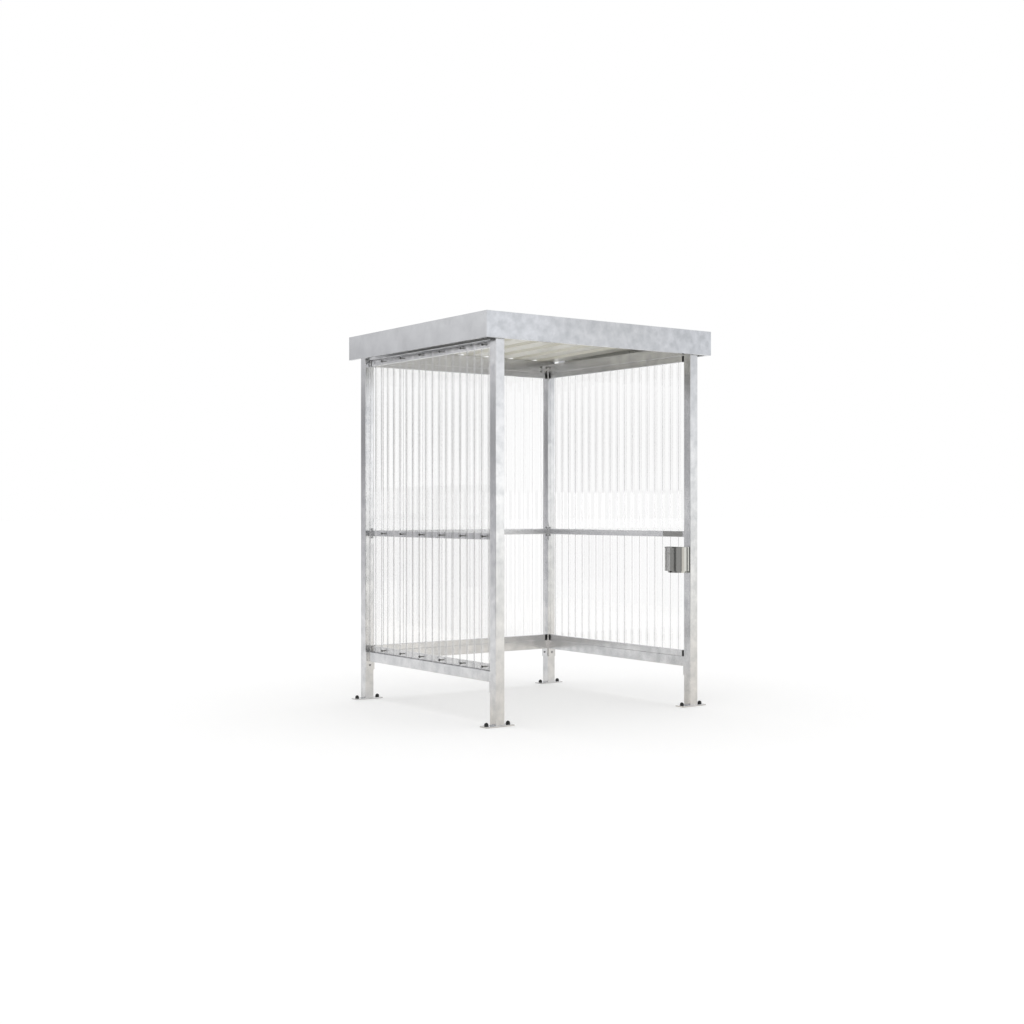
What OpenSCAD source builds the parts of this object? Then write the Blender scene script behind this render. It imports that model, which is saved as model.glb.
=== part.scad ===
// Smoking shelter: a galvanised post frame with clear ribbed walls on three
// sides, an open front, a ribbed steel roof behind a folded fascia and a small
// half-round ashtray on one front post.
// X runs along the open front, Y from the front to the back, Z up.
// The origin is on the ground, under the centre of the whole outline.

/* [Frame] */
// Distance between post centres, side to side
post_span_x = 1484; // [1000:2:2600]
// Distance between post centres, front to back
post_span_y = 1484; // [1000:2:2600]
// Width of the square post tube
post_w = 60; // [54:1:66]
// Wall of the post tube
post_t = 3; // [2:0.5:4]
// Outer corner radius of the post tube
post_corner = 2; // [1:0.5:8]

/* [Feet] */
// Length of a base plate, side to side
base_l = 195; // [180:1:260]
// Width of a base plate, front to back
base_w = 69; // [67:1:120]
// Thickness of a base plate
base_t = 8; // [5:1:15]
// Distance between the two anchor holes of a base plate
anchor_spacing = 150; // [120:1:155]
// Diameter of an anchor hole
anchor_d = 14; // [9:0.5:16]
// Diameter of a black anchor cap
cap_d = 25; // [22:1:28]
// Height of the straight rim of an anchor cap
cap_rim_h = 7; // [4:0.5:12]
// Wall of an anchor cap
cap_wall = 2; // [1:0.25:3]

/* [Rails] */
// Height of the underside of the bottom rails
bottom_rail_z = 248; // [200:1:400]
// Height of the centre of the mid rails
mid_rail_z = 1080; // [900:1:1300]
// Distance from the top of the roof down to the underside of the top rail tubes
top_rail_drop = 151; // [145:1:400]
// Height of the rail tubes
rail_h = 62; // [40:1:64]
// Depth of the rail tubes, inside to outside
rail_d = 40; // [34:1:42]
// Wall of the rail tubes
rail_t = 2; // [1.5:0.5:2.5]
// Outer corner radius of the rail tubes
rail_corner = 3; // [3:0.5:6]
// Height of the slim tubes that carry the wall sheets
carrier_h = 38; // [30:1:45]
// Depth of the slim tubes that carry the wall sheets
carrier_d = 19; // [15:1:20]
// Wall of the slim tubes
carrier_t = 1.5; // [1:0.25:1.75]
// Outer corner radius of the slim tubes
carrier_corner = 2; // [2:0.25:4]
// Setback of the rails from the inner face of the posts
rail_inset = 4; // [2:0.5:6]
// Thickness of the plates at the ends of the rails
end_plate_t = 4; // [3:0.5:6]
// Thickness of the wide plates at the ends of the bottom rails
foot_plate_t = 8; // [6:0.5:10]
// Setback of the wide plates from the edges of the posts
foot_plate_set = 1; // [0.5:0.5:4]
// How far the wide plates reach down past the bottom rail tubes
bottom_tab = 56; // [40:1:80]
// How far the end plates of the mid rails reach past the tube, up and down
mid_tab = 43; // [30:1:60]
// How far the end plates of the top rails reach down past the slim tube
top_tab = 16; // [10:1:30]
// Length of the black plug between a slim tube and its end plate
plug_l = 19; // [10:1:30]
// Depth of the front beam
beam_d = 40; // [34:1:50]
// Height of the front beam
beam_h = 98; // [60:1:100]

/* [Wall sheets] */
// Distance from rib to rib
wall_pitch = 76; // [60:1:90]
// Width of a rib's flat crest
wall_crest = 24; // [16:1:28]
// Width of a rib's sloping side, seen from above
wall_web = 14; // [10:1:16]
// Depth of the ribs
wall_rib = 17; // [12:0.5:18]
// Thickness of the clear sheet
wall_t = 1.2; // [0.8:0.1:2]
// Gap between a sheet and the posts or the rail tubes
wall_gap = 3; // [1:0.5:5]
// Sideways shift of the ribs of the back sheet
back_rib_shift = 9; // [0:1:20]

/* [Roof] */
// Overall height of the shelter
overall_h = 2354; // [2000:1:2600]
// Distance the roof outline stands out past the posts at each side
overhang_side = 85; // [70:1:150]
// Distance the roof outline stands out past the front posts
overhang_front = 32; // [28:1:120]
// Distance the roof outline stands out past the back posts
overhang_back = 5; // [5:1:20]
// Height of the fascia
fascia_h = 150; // [148:1:200]
// Thickness of the folded fascia sheet
fascia_t = 2; // [1:0.5:3]
// Width of the fascia's top fold
fascia_top_lip = 40; // [20:1:60]
// Width of the fascia's bottom fold
fascia_bottom_lip = 22; // [12:1:24]
// Drop of the roof sheet from front to back
roof_fall = 30; // [10:1:34]
// Distance from rib to rib of the roof sheet
roof_pitch = 207; // [150:1:250]
// Width of a roof rib's flat crown
roof_crown = 40; // [25:1:60]
// Width of a roof rib's sloping side, seen from above
roof_web = 24; // [15:1:35]
// Depth of the roof ribs
roof_rib = 35; // [25:1:36]
// Thickness of the roof sheet
roof_t = 1; // [0.7:0.1:1.5]
// Gap between the roof sheet's edges and the brackets on the fascia
roof_gap = 1; // [0.5:0.5:5]
// Setback of the roof sheet's back edge from the back end of the fascia
roof_back_set = 2; // [1:0.5:4]
// Width of the brackets that hold the fascia
bracket_w = 20; // [15:1:40]
// Thickness of the brackets
bracket_t = 3; // [2:0.5:4]
// Height of the bracket arms above the underside of the top rail tubes
bracket_rise = 37; // [30:1:45]
// How far the brackets reach down the rails and the front beam
bracket_down = 20; // [10:1:22]
// How far the brackets reach up the fascia
bracket_up = 68; // [30:1:70]
// Gap between the outer brackets and the posts
bracket_gap = 3; // [1:1:150]

/* [Ashtray] */
// Radius of the half-round ashtray
ash_r = 92; // [80:1:110]
// Height of the ashtray body
ash_h = 150; // [120:1:200]
// Height of the underside of the ashtray body
ash_z = 849; // [700:1:900]
// Length of the straight flanks behind the half-round front
ash_flank = 8; // [4:1:20]
// Thickness of the ashtray's sheet metal
ash_t = 2; // [1.5:0.5:3]
// Thickness of the ashtray's back plate
ash_back_t = 2.5; // [1.5:0.5:4]
// Depth of the lid below the rim
ash_lid_drop = 14; // [8:1:25]
// Distance of the slot in the lid from the half-round's centre
ash_slot_out = 32; // [20:1:40]
// Length of the slot in the lid
ash_slot_l = 96; // [60:1:110]
// Width of the slot in the lid
ash_slot_w = 18; // [12:1:24]
// Radius of the small pan under the body
ash_pan_r = 72; // [50:1:75]
// Height of the small pan under the body
ash_pan_h = 11; // [11:1:30]
// Radius of the two scoops in the rim
ash_scoop_r = 40; // [20:1:60]
// Depth of the scoops
ash_scoop_depth = 5; // [2:0.5:10]
// Angle of the scoops away from the middle of the front
ash_scoop_turn = 28; // [25:1:60]
// Distance from the rim down to the centre of the lock
ash_lock_drop = 42; // [25:1:80]
// Diameter of the lock on the front
ash_lock_d = 16; // [10:1:20]
// How far the lock stands out
ash_lock_l = 4; // [2:0.5:10]
// Diameter of the black knob under the front
ash_knob_d = 10; // [6:1:10]
// How far the knob stands out
ash_knob_l = 8; // [4:1:20]

/* [Hidden] */
$fn = 96;

// Extra length of a cutter past the face it cuts
through = 1;
// Smallest gap between pieces that seat on each other
seat = 0.2;
// Smallest corner radius inside a tube
inner_corner = 0.5;

// Outline of the roof and its place relative to the posts
roof_w = post_span_x + post_w + 2 * overhang_side;
roof_d = post_span_y + post_w + overhang_front + overhang_back;
roof_front_y = -post_span_y / 2 - post_w / 2 - overhang_front;
roof_back_y = roof_front_y + roof_d;
// The posts stand a little behind the centre of the outline
mid_y = -(roof_front_y + roof_back_y) / 2;

// Levels
fascia_z = overall_h - fascia_h;
top_rail_z = overall_h - top_rail_drop;
sheet_set = fascia_t + bracket_t + roof_gap;
sheet_front_y = roof_front_y + sheet_set;
sheet_run = roof_back_y - roof_back_set - sheet_front_y;
sheet_front_z = overall_h - fascia_t - seat - roof_rib - roof_t;
fall_angle = atan(roof_fall / sheet_run);
function roof_underside(y) = sheet_front_z - (y - sheet_front_y) * tan(fall_angle);

// Rail cross-section, measured from the posts' centre line, outwards positive
rail_in = -post_w / 2 + rail_inset;
carrier_out = rail_in + carrier_d;
rail_out = rail_in + rail_d;
bottom_carrier_z = bottom_rail_z + rail_h;
top_carrier_z = top_rail_z - carrier_h;
sheet_z = bottom_rail_z + rail_h + wall_gap;
sheet_h = top_rail_z - wall_gap - sheet_z;
// The roof sheet lies on the posts, the front beam and the back rail
front_seat_z = roof_underside(-post_span_y / 2 + post_w / 2) - seat;
back_seat_z = roof_underside(post_span_y / 2 + post_w / 2) - seat;

// Clear distance between the posts of a wall, and how far it stands from the centre
function wall_clear(side) = (side == "back" ? post_span_x : post_span_y) - post_w;
function wall_reach(side) = (side == "back" ? post_span_y : post_span_x) / 2;
function wall_turn(side) = side == "left" ? 90 : side == "right" ? -90 : 0;

// Ashtray: its back lies on the inner face of the front right post
ash_x = post_span_x / 2 - post_w / 2;
ash_y = mid_y - post_span_y / 2 - post_w / 2 + ash_r;
ash_centre = ash_back_t + ash_flank;

// Galvanised steel, coated roof steel, stainless steel, clear sheet, black plastic
zinc = [0.74, 0.76, 0.77];
roof_colour = [0.82, 0.81, 0.75];
stainless = [0.58, 0.58, 0.57];
clear_colour = [0.85, 0.92, 0.95, 0.3];
black = [0.08, 0.08, 0.08];

// A rectangle centred on the origin, with round corners
module round_rect(width, height, corner) {
    square([width - 2 * corner, height], center = true);
    square([width, height - 2 * corner], center = true);
    for (x = [-1, 1], y = [-1, 1])
        translate([x * (width / 2 - corner), y * (height / 2 - corner)])
            circle(r = corner);
}

// A rectangular tube that stands on the origin
module upright_tube(width, depth, length, wall, corner) {
    linear_extrude(height = length)
        difference() {
            round_rect(width, depth, corner);
            round_rect(width - 2 * wall, depth - 2 * wall, max(corner - wall, inner_corner));
        }
}

// A rectangular tube that lies along X, centred on the origin
module lying_tube(length, depth, height, wall, corner) {
    translate([-length / 2, 0, 0])
        rotate([90, 0, 90])
            upright_tube(depth, height, length, wall, corner);
}

// A block given by its lowest and highest corners
module block(low, high) {
    translate(low)
        cube(high - low);
}

// Places a foot's pieces under the post at the given corner
module at_corner(side_x, side_y) {
    translate([side_x * post_span_x / 2, mid_y + side_y * post_span_y / 2, 0])
        children();
}

// Places a wall's pieces: local X along the wall, local Y outwards, 0 at the posts' centre line
module on_wall(side) {
    translate([0, mid_y, 0])
        rotate([0, 0, wall_turn(side)])
            translate([0, wall_reach(side), 0])
                children();
}

// One post, from its base plate up to the roof sheet
module post(side_x, side_y) {
    top = side_y < 0 ? front_seat_z : back_seat_z;
    color(zinc)
        at_corner(side_x, side_y)
            translate([0, 0, base_t])
                upright_tube(post_w, post_w, top - base_t, post_t, post_corner);
}

// One base plate with its two anchor holes
module base_plate(side_x, side_y) {
    color(zinc)
        at_corner(side_x, side_y)
            difference() {
                translate([-base_l / 2, -base_w / 2, 0])
                    cube([base_l, base_w, base_t]);
                for (s = [-1, 1])
                    translate([s * anchor_spacing / 2, 0, -through])
                        cylinder(d = anchor_d, h = base_t + 2 * through);
            }
}

// A hollow domed cap that stands on a base plate over an anchor hole
module anchor_cap() {
    difference() {
        union() {
            cylinder(d = cap_d, h = cap_rim_h);
            translate([0, 0, cap_rim_h])
                intersection() {
                    sphere(d = cap_d);
                    cylinder(d = cap_d + through, h = cap_d);
                }
        }
        translate([0, 0, -through])
            cylinder(d = cap_d - 2 * cap_wall, h = cap_rim_h + through);
    }
}

module anchor_caps() {
    color(black)
        for (side_x = [-1, 1], side_y = [-1, 1], s = [-1, 1])
            at_corner(side_x, side_y)
                translate([s * anchor_spacing / 2, 0, base_t])
                    anchor_cap();
}

// A tube between two posts, its ends let into the end plates
module rail_tube(side, depth, h, wall, corner, z) {
    run = wall_clear(side) - end_plate_t;
    translate([0, rail_in + depth / 2, z + h / 2])
        lying_tube(run, depth, h, wall, corner);
}

// A pair of end plates, from z_low to z_high and as deep as given
module end_plates(side, depth, z_low, z_high) {
    edge = wall_clear(side) / 2;
    for (x = [-edge, edge - end_plate_t])
        translate([x, rail_in, z_low])
            cube([end_plate_t, depth, z_high - z_low]);
}

// The wide, thick plates that carry a bottom rail, nearly as wide as the posts
module foot_plates(side) {
    edge = wall_clear(side) / 2;
    half = post_w / 2 - foot_plate_set;
    low = bottom_rail_z - bottom_tab;
    for (x = [-edge, edge - foot_plate_t])
        translate([x, -half, low])
            cube([foot_plate_t, 2 * half, bottom_carrier_z - low]);
}

module bottom_rail(side) {
    color(zinc)
        on_wall(side) {
            rail_tube(side, rail_d, rail_h, rail_t, rail_corner, bottom_rail_z);
            foot_plates(side);
            end_plates(side, carrier_d, bottom_carrier_z, bottom_carrier_z + carrier_h);
        }
}

module mid_rail(side) {
    low = mid_rail_z - carrier_h / 2;
    color(zinc)
        on_wall(side) {
            rail_tube(side, carrier_d, carrier_h, carrier_t, carrier_corner, low);
            end_plates(side, carrier_d, low - mid_tab, low + carrier_h + mid_tab);
        }
}

module top_rail(side) {
    h = side == "back" ? back_seat_z - top_rail_z : rail_h;
    color(zinc)
        on_wall(side) {
            rail_tube(side, rail_d, h, rail_t, rail_corner, top_rail_z);
            end_plates(side, rail_d, top_rail_z, top_rail_z + h);
            end_plates(side, carrier_d, top_carrier_z - top_tab, top_rail_z);
        }
}

// The beam that carries the roof sheet over the open front
module front_beam() {
    color(zinc)
        translate([0, mid_y - post_span_y / 2, front_seat_z - beam_h / 2])
            lying_tube(post_span_x - post_w, beam_d, beam_h, rail_t, rail_corner);
}

// A slim tube that a wall sheet is screwed to
module carrier(side, z) {
    run = wall_clear(side) - 2 * (end_plate_t + plug_l);
    color(zinc)
        on_wall(side)
            translate([0, rail_in + carrier_d / 2, z + carrier_h / 2])
                lying_tube(run, carrier_d, carrier_h, carrier_t, carrier_corner);
}

// The black plugs that close the slim tubes at the end plates
module carrier_plugs() {
    color(black)
        for (side = ["left", "back", "right"], z = [bottom_carrier_z, top_carrier_z], s = [-1, 1])
            on_wall(side)
                translate([s * (wall_clear(side) / 2 - end_plate_t - plug_l / 2),
                        rail_in + carrier_d / 2, z + carrier_h / 2])
                    cube([plug_l, carrier_d, carrier_h], center = true);
}

// One face of a ribbed sheet: ribs number first to last, each with four corners
function rib_line(first, last, pitch, crest, web, rib, lift, inset) = [
    for (k = [first:last], p = [
            [-crest / 2 - web + inset, lift], [-crest / 2 + inset, rib + lift],
            [crest / 2 - inset, rib + lift], [crest / 2 + web - inset, lift]])
        [k * pitch + p[0], p[1]]];

function reversed(list) = [for (i = [len(list) - 1:-1:0]) list[i]];

// Cross-section of a ribbed sheet that is at least as wide as asked, ribs up
module ribbed_section(width, pitch, crest, web, rib, t) {
    n = ceil(width / 2 / pitch) + 1;
    inset = t * tan(atan(rib / web) / 2);
    polygon(concat(
        rib_line(-n, n, pitch, crest, web, rib, 0, inset),
        reversed(rib_line(-n, n, pitch, crest, web, rib, t, 0))));
}

// A clear wall sheet between two posts, its valleys flat against the slim tubes
module wall_sheet(side) {
    width = wall_clear(side) - 2 * wall_gap;
    shift = side == "back" ? back_rib_shift : 0;
    color(clear_colour)
        on_wall(side)
            intersection() {
                translate([shift, carrier_out, sheet_z])
                    linear_extrude(height = sheet_h)
                        ribbed_section(width, wall_pitch, wall_crest, wall_web, wall_rib, wall_t);
                translate([0, carrier_out, sheet_z + sheet_h / 2])
                    cube([width, 2 * (wall_rib + wall_t + through), sheet_h + 2 * through], center = true);
            }
}

// The ribbed roof sheet, falling a little from front to back
module roof_sheet() {
    width = roof_w - 2 * sheet_set;
    length = sheet_run / cos(fall_angle);
    color(roof_colour)
        translate([0, mid_y + sheet_front_y, sheet_front_z])
            rotate([-fall_angle, 0, 0])
                intersection() {
                    translate([0, length, 0])
                        rotate([90, 0, 0])
                            linear_extrude(height = length)
                                ribbed_section(width, roof_pitch, roof_crown, roof_web,
                                    roof_rib, roof_t);
                    translate([0, length / 2, 0])
                        cube([width, length + 2 * through, 2 * (roof_rib + roof_t + through)],
                            center = true);
                }
}

// The folded fascia across the front
module front_fascia() {
    y = mid_y + roof_front_y;
    color(zinc) {
        block([-roof_w / 2, y, fascia_z], [roof_w / 2, y + fascia_t, overall_h]);
        block([-roof_w / 2, y, overall_h - fascia_t], [roof_w / 2, y + fascia_top_lip, overall_h]);
        block([-roof_w / 2, y, fascia_z], [roof_w / 2, y + fascia_bottom_lip, fascia_z + fascia_t]);
    }
}

// The folded fascia along one side, butted against the front one
module side_fascia(side) {
    front = mid_y + roof_front_y;
    back = mid_y + roof_back_y;
    edge = roof_w / 2;
    color(zinc)
        mirror([side == "left" ? 1 : 0, 0, 0]) {
            block([edge - fascia_t, front + fascia_t, fascia_z + fascia_t],
                [edge, back, overall_h - fascia_t]);
            block([edge - fascia_top_lip, front + fascia_top_lip, overall_h - fascia_t],
                [edge, back, overall_h]);
            block([edge - fascia_bottom_lip, front + fascia_bottom_lip, fascia_z],
                [edge, back, fascia_z + fascia_t]);
        }
}

// A bent bracket from a rail's face at x_in to the fascia's inner face at x_out
module fascia_bracket(x_in, x_out) {
    arm_z = top_rail_z + bracket_rise;
    half = bracket_w / 2;
    block([x_in, -half, arm_z], [x_out, half, arm_z + bracket_t]);
    block([x_in, -half, arm_z - bracket_down], [x_in + bracket_t, half, arm_z + bracket_t]);
    block([x_out - bracket_t, -half, arm_z], [x_out, half, arm_z + bracket_up]);
}

module side_fascia_brackets(side) {
    reach = (post_span_y - post_w - bracket_w) / 2 - bracket_gap;
    color(zinc)
        mirror([side == "left" ? 1 : 0, 0, 0])
            for (y = [-reach, 0, reach])
                translate([0, mid_y + y, 0])
                    fascia_bracket(post_span_x / 2 + rail_out, roof_w / 2 - fascia_t);
}

module front_fascia_brackets() {
    reach = (post_span_x - post_w - bracket_w) / 2 - bracket_gap;
    color(zinc)
        for (x = [-reach, 0, reach])
            translate([x, mid_y, 0])
                rotate([0, 0, -90])
                    fascia_bracket(post_span_y / 2 + beam_d / 2, -roof_front_y - fascia_t);
}

// Places the ashtray's pieces: local X out from the post into the shelter, 0 on the post's face
module at_ashtray(z) {
    translate([ash_x, ash_y, z])
        rotate([0, 0, 180])
            children();
}

// A solid with a straight back and a half-round front, from x_back out to x_centre + r
module half_round(x_back, x_centre, r, h) {
    translate([x_back, -r, 0])
        cube([x_centre - x_back, 2 * r, h]);
    intersection() {
        translate([x_centre, 0, 0])
            cylinder(r = r, h = h);
        translate([x_centre, -r - through, 0])
            cube([r + through, 2 * r + 2 * through, h]);
    }
}

module ashtray_back_plate() {
    color(stainless)
        at_ashtray(ash_z - ash_pan_h)
            translate([0, -ash_r, 0])
                cube([ash_back_t, 2 * ash_r, ash_h + ash_pan_h]);
}

// The half-round body, open above and below, with two scoops in its rim
module ashtray_body() {
    color(stainless)
        at_ashtray(ash_z)
            difference() {
                half_round(ash_back_t, ash_centre, ash_r, ash_h);
                translate([0, 0, -through])
                    half_round(ash_back_t - through, ash_centre, ash_r - ash_t, ash_h + 2 * through);
                for (s = [-1, 1])
                    translate([ash_centre, 0, ash_h + ash_scoop_r - ash_scoop_depth])
                        rotate([0, 90, s * ash_scoop_turn])
                            cylinder(r = ash_scoop_r, h = ash_r + through);
            }
}

// The lid, set down inside the body, with the slot for cigarette ends
module ashtray_lid() {
    color(stainless)
        at_ashtray(ash_z + ash_h - ash_lid_drop)
            difference() {
                half_round(ash_back_t, ash_centre, ash_r - ash_t - seat, ash_t);
                translate([ash_centre + ash_slot_out, -ash_slot_l / 2, -through])
                    cube([ash_slot_w, ash_slot_l, ash_t + 2 * through]);
            }
}

// The floor of the body and the small pan sunk into it, which hangs under the body
module ashtray_pan() {
    color(stainless)
        at_ashtray(ash_z)
            difference() {
                union() {
                    half_round(ash_back_t, ash_centre, ash_r - ash_t - seat, ash_t);
                    translate([0, 0, -ash_pan_h])
                        half_round(ash_back_t, ash_centre, ash_pan_r, ash_pan_h);
                }
                translate([0, 0, ash_t - ash_pan_h])
                    half_round(ash_back_t + ash_t, ash_centre, ash_pan_r - ash_t, ash_pan_h + through);
            }
}

// A round stud on the middle of the half-round front of radius r, seated on its curve
module front_stud(d, l, r) {
    difference() {
        translate([ash_centre + r - l, 0, 0])
            rotate([0, 90, 0])
                cylinder(d = d, h = 2 * l);
        translate([0, 0, -d])
            half_round(ash_back_t, ash_centre, r, 2 * d);
    }
}

module ashtray_lock() {
    color(stainless)
        at_ashtray(ash_z + ash_h - ash_lock_drop)
            front_stud(ash_lock_d, ash_lock_l, ash_r);
}

module ashtray_knob() {
    color(black)
        at_ashtray(ash_z - ash_pan_h / 2)
            front_stud(ash_knob_d, ash_knob_l, ash_pan_r);
}

post(-1, -1);  // post_front_left
post(1, -1);  // post_front_right
post(-1, 1);  // post_back_left
post(1, 1);  // post_back_right
base_plate(-1, -1);  // base_plate_front_left
base_plate(1, -1);  // base_plate_front_right
base_plate(-1, 1);  // base_plate_back_left
base_plate(1, 1);  // base_plate_back_right
anchor_caps();
bottom_rail("left");  // left_bottom_rail
bottom_rail("back");  // back_bottom_rail
bottom_rail("right");  // right_bottom_rail
mid_rail("left");  // left_mid_rail
mid_rail("back");  // back_mid_rail
mid_rail("right");  // right_mid_rail
top_rail("left");  // left_top_rail
top_rail("back");  // back_top_rail
top_rail("right");  // right_top_rail
front_beam();
carrier("left", bottom_carrier_z);  // left_bottom_carrier
carrier("back", bottom_carrier_z);  // back_bottom_carrier
carrier("right", bottom_carrier_z);  // right_bottom_carrier
carrier("left", top_carrier_z);  // left_top_carrier
carrier("back", top_carrier_z);  // back_top_carrier
carrier("right", top_carrier_z);  // right_top_carrier
carrier_plugs();
wall_sheet("left");  // left_wall_sheet
wall_sheet("back");  // back_wall_sheet
wall_sheet("right");  // right_wall_sheet
roof_sheet();
front_fascia();
side_fascia("left");  // left_fascia
side_fascia("right");  // right_fascia
side_fascia_brackets("left");  // left_fascia_brackets
side_fascia_brackets("right");  // right_fascia_brackets
front_fascia_brackets();
ashtray_back_plate();
ashtray_body();
ashtray_lid();
ashtray_pan();
ashtray_lock();
ashtray_knob();
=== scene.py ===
# %% [markdown]
# # A galvanised smoking shelter, dressed in Blender
# The shelter is a welded steel frame, dipped whole in molten zinc, with clear ribbed
# sheets screwed to three sides and a folded steel roof. The construction model already
# holds every solid part. This lesson gives each part its finish, adds the small hardware
# that holds a shelter together, and sets up a pale studio to look at it.

# %% Load the construction model
import math

import bmesh
import bpy
from mathutils import Matrix, Vector


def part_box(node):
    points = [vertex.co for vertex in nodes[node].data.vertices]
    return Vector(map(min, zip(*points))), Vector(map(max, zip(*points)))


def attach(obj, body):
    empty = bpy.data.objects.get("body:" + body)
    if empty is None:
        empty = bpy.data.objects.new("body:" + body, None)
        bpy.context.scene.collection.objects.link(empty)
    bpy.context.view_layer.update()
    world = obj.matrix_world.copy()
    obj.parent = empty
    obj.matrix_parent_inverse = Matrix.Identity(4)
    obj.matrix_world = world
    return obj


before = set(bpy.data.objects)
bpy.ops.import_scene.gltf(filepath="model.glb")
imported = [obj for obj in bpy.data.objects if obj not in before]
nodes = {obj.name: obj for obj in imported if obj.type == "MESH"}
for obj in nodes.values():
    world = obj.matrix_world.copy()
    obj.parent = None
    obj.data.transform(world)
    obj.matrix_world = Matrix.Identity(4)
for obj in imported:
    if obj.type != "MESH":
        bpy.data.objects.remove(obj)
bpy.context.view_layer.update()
MM = 0.001

# %% [markdown]
# ## Two small tools for materials
# Every finish below is a little network of nodes. Colours are written as the hex values
# a paint chart would give, and Blender wants them linear, so one function converts them.
# A second function adds a node with its settings and links in one line, which keeps a
# material short enough to read as a recipe. A third blends two colours by a pattern.

# %% Colours and nodes
def linear(hex_colour, alpha=1.0):
    """The linear colour of an sRGB hex value."""
    parts = [int(hex_colour[i : i + 2], 16) / 255 for i in (0, 2, 4)]
    return [c / 12.92 if c <= 0.04045 else ((c + 0.055) / 1.055) ** 2.4 for c in parts] + [alpha]


def add_node(tree, kind, inputs=None, **settings):
    """Adds a node. inputs gives a value or another node's output for each named socket."""
    node = tree.nodes.new("ShaderNode" + kind)
    for name, value in settings.items():
        setattr(node, name, value)
    for name, value in (inputs or {}).items():
        if isinstance(value, bpy.types.NodeSocket):
            tree.links.new(value, node.inputs[name])
        else:
            node.inputs[name].default_value = value
    return node


def empty_material(name):
    """A new material with an output node only, and its tree."""
    material = bpy.data.materials.new(name)
    material.use_nodes = True
    material.node_tree.nodes.clear()
    return material, material.node_tree, add_node(material.node_tree, "OutputMaterial")


COLOUR_A, COLOUR_B, COLOUR_OUT = 6, 7, 2  # a Mix node's colour sockets, among its many


def blended(tree, share, first, second):
    """Two linear colours, blended by another node's output."""
    mix = add_node(tree, "Mix", data_type="RGBA")
    tree.links.new(share, mix.inputs["Factor"])
    mix.inputs[COLOUR_A].default_value = first
    mix.inputs[COLOUR_B].default_value = second
    return mix.outputs[COLOUR_OUT]


print("pale zinc in linear light:", [round(c, 3) for c in linear("dbdbdc")])

# %% [markdown]
# ## Hot-dip galvanised steel
# The posts and rails were dipped in a zinc bath. Freshly dipped zinc is a real metal
# finish: it mirrors its surroundings softly, in cool light grey, with clouds about as
# wide as a hand and small crystals called spangle. A noise as wide as the clouds and a
# Voronoi pattern as wide as the crystals tint the colour, and the same clouds make some
# places duller than others. A very fine noise gives the slightly grainy skin. There are
# three versions: tubes, plain sheet, and the front fascia with its bolder mottling.

# %% A zinc finish, for tubes and for flat sheet
def zinc_finish(name, dark, pale, cloud, crystal, shine):
    """Zinc with clouds and crystals of the given sizes in metres, and a roughness range."""
    material, tree, output = empty_material(name)
    place = add_node(tree, "TexCoord").outputs["Object"]
    clouds = add_node(tree, "TexNoise", {"Vector": place, "Scale": 1 / cloud,
                                         "Detail": 3.0, "Roughness": 0.55})
    crystals = add_node(tree, "TexVoronoi", {"Vector": place, "Scale": 1 / crystal})
    flake = add_node(tree, "SeparateColor", {"Color": crystals.outputs["Color"]})
    spread = add_node(tree, "MapRange", {"Value": clouds.outputs["Fac"],
                                         "From Min": 0.32, "From Max": 0.68})
    shade = add_node(tree, "Mix", {"Factor": 0.1, "A": spread.outputs["Result"],
                                   "B": flake.outputs["Red"]})
    colour = blended(tree, shade.outputs["Result"], linear(dark), linear(pale))
    dull = add_node(tree, "MapRange", {"Value": spread.outputs["Result"],
                                       "To Min": shine[1], "To Max": shine[0]})
    grain = add_node(tree, "TexNoise", {"Vector": place, "Scale": 1 / (3 * MM), "Detail": 3.0})
    skin = add_node(tree, "Bump", {"Height": grain.outputs["Fac"], "Strength": 0.05,
                                   "Distance": 0.3 * MM})
    metal = add_node(tree, "BsdfPrincipled", {"Base Color": colour, "Metallic": 0.9,
                                              "Roughness": dull.outputs["Result"],
                                              "Normal": skin.outputs["Normal"]})
    tree.links.new(metal.outputs["BSDF"], output.inputs["Surface"])
    return material


tube_zinc = zinc_finish("hot_dip_galvanised_steel", "c3c4c6", "dbdbdc",
                        cloud=70 * MM, crystal=14 * MM, shine=(0.17, 0.24))
sheet_zinc = zinc_finish("galvanised_steel_sheet", "c3c4c6", "cecfd1",
                         cloud=150 * MM, crystal=20 * MM, shine=(0.20, 0.26))
spangled_zinc = zinc_finish("spangled_galvanised_sheet", "bbbdc0", "dadbde",
                            cloud=60 * MM, crystal=20 * MM, shine=(0.20, 0.26))
print("zinc finishes:", tube_zinc.name, sheet_zinc.name, spangled_zinc.name)

# %% [markdown]
# ## Polyester-coated roof steel
# The roof is a thin ribbed steel sheet, coated in the mill with cream-white polyester.
# The coating is not a metal to the eye: it is a satin paint with a faint orange peel a
# few millimetres wide and a little dust that tints it unevenly.

# %% Coated roof steel
def coated_finish(name, clean, dusty):
    """A satin coil coating with faint dust."""
    material, tree, output = empty_material(name)
    place = add_node(tree, "TexCoord").outputs["Object"]
    dust = add_node(tree, "TexNoise", {"Vector": place, "Scale": 1 / (250 * MM), "Detail": 5.0})
    colour = blended(tree, dust.outputs["Fac"], linear(clean), linear(dusty))
    peel = add_node(tree, "TexNoise", {"Vector": place, "Scale": 1 / (4 * MM), "Detail": 2.0})
    skin = add_node(tree, "Bump", {"Height": peel.outputs["Fac"], "Strength": 0.06,
                                   "Distance": 0.2 * MM})
    paint = add_node(tree, "BsdfPrincipled", {"Base Color": colour, "Roughness": 0.25,
                                              "Normal": skin.outputs["Normal"]})
    tree.links.new(paint.outputs["BSDF"], output.inputs["Surface"])
    return material


roof_coating = coated_finish("polyester_coated_steel", "e8e6da", "dcd9cb")
print("roof finish:", roof_coating.name)

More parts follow.
